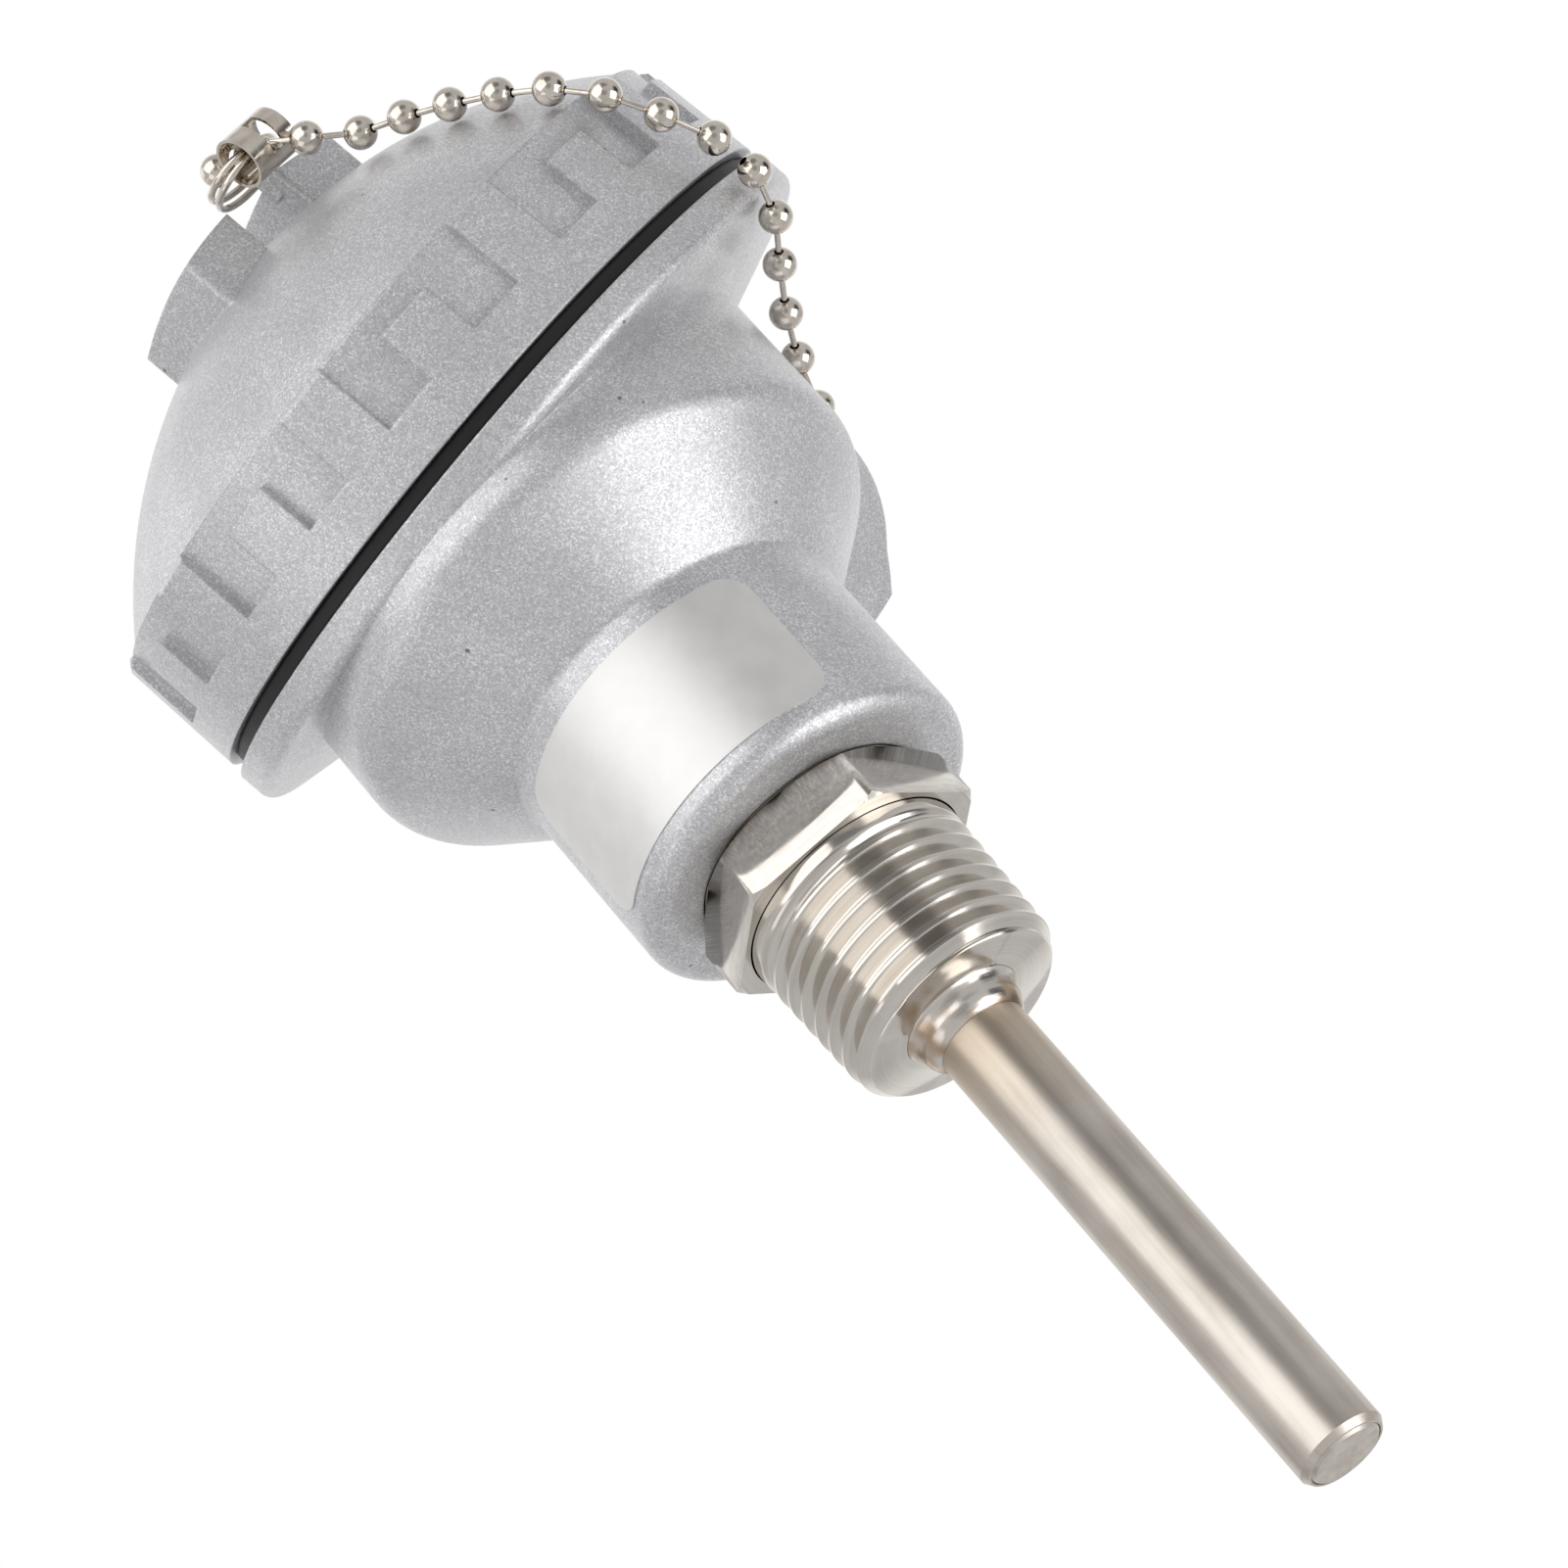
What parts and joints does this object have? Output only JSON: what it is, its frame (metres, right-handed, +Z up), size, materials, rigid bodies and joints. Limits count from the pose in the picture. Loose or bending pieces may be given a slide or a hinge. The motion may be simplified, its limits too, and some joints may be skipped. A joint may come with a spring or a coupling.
{
  "type": "rtd probe with head",
  "caption": "Resistance thermometer probe with a tapered process thread and a die-cast connection head, its inclined screw cap held by a ball chain",
  "frame": {"origin": "underside of the hexagon, on the probe axis", "axes": "+Z up the probe axis from the tip to the head, +X towards the cable entry, +Y across"},
  "size_m": [0.0804, 0.0735, 0.1518],
  "materials": {
    "painted_casting": "silver aluminium paint on die casting, fine sparkling grain",
    "painted_nut": "silver aluminium paint",
    "seal_rubber": "smooth black rubber",
    "gland_rubber": "matt black rubber",
    "zinc_steel": "bright zinc plate",
    "turned_steel": "turned stainless steel, bright",
    "tube_steel": "drawn stainless steel, satin",
    "element_ceramic": "bare alumina",
    "potting_resin": "cast epoxy",
    "block_plastic": "moulded thermoset",
    "terminal_brass": "bright turned brass",
    "wire_red": "wire sheath",
    "wire_white": "wire sheath",
    "label_foil": "satin foil sticker, bare",
    "chain_nickel": "bright nickel plate"
  },
  "bodies": {
    "head": {"head_housing": "painted_casting", "process_fitting": "turned_steel", "protection_tube": "tube_steel", "tube_tip_plug": "tube_steel", "weld_collar": "turned_steel", "sensing_element": "element_ceramic", "wire_insulator": "element_ceramic", "potting_plug": "potting_resin", "terminal_block": "block_plastic", "terminal_clamps": "terminal_brass", "terminal_screws": "zinc_steel", "block_screws": "zinc_steel", "lead_wire_red": "wire_red", "lead_wire_white_a": "wire_white", "lead_wire_white_b": "wire_white", "label_foil": "label_foil", "gland_grommet": "gland_rubber", "body_chain_beads": "chain_nickel", "body_chain_links": "chain_nickel", "body_chain_sleeve": "chain_nickel", "body_split_ring": "chain_nickel"},
    "seal": {"cap_seal": "seal_rubber"},
    "cap": {"screw_cap": "painted_casting", "cap_chain_beads": "chain_nickel", "cap_chain_links": "chain_nickel", "cap_chain_sleeve": "chain_nickel", "cap_split_ring": "chain_nickel"},
    "gland_ring": {"gland_thrust_ring": "zinc_steel"},
    "nut": {"gland_nut": "painted_nut"}
  },
  "joints": [
    {"name": "cap_lift", "type": "slide", "parent": "head", "child": "seal", "axis": [-0.4733, 0, 0.8809], "range_m": [0, 0.006]},
    {"name": "cap_turn", "type": "hinge", "parent": "seal", "child": "cap", "pos_m": [0.00385, 0, 0.0569], "axis": [-0.4733, 0, 0.8809], "range_deg": [0, 1080]},
    {"name": "gland_travel", "type": "slide", "parent": "head", "child": "gland_ring", "axis": [1, 0, 0], "range_m": [0, 0.006]},
    {"name": "gland_turn", "type": "hinge", "parent": "gland_ring", "child": "nut", "pos_m": [0.0419, 0, 0.0537], "axis": [1, 0, 0], "range_deg": [0, 1440]}
  ],
  "couplings": [
    {"joint": "cap_lift", "follows": "cap_turn", "m_per_rad": 0.00031799},
    {"joint": "gland_travel", "follows": "gland_turn", "m_per_rad": 0.00023849}
  ]
}
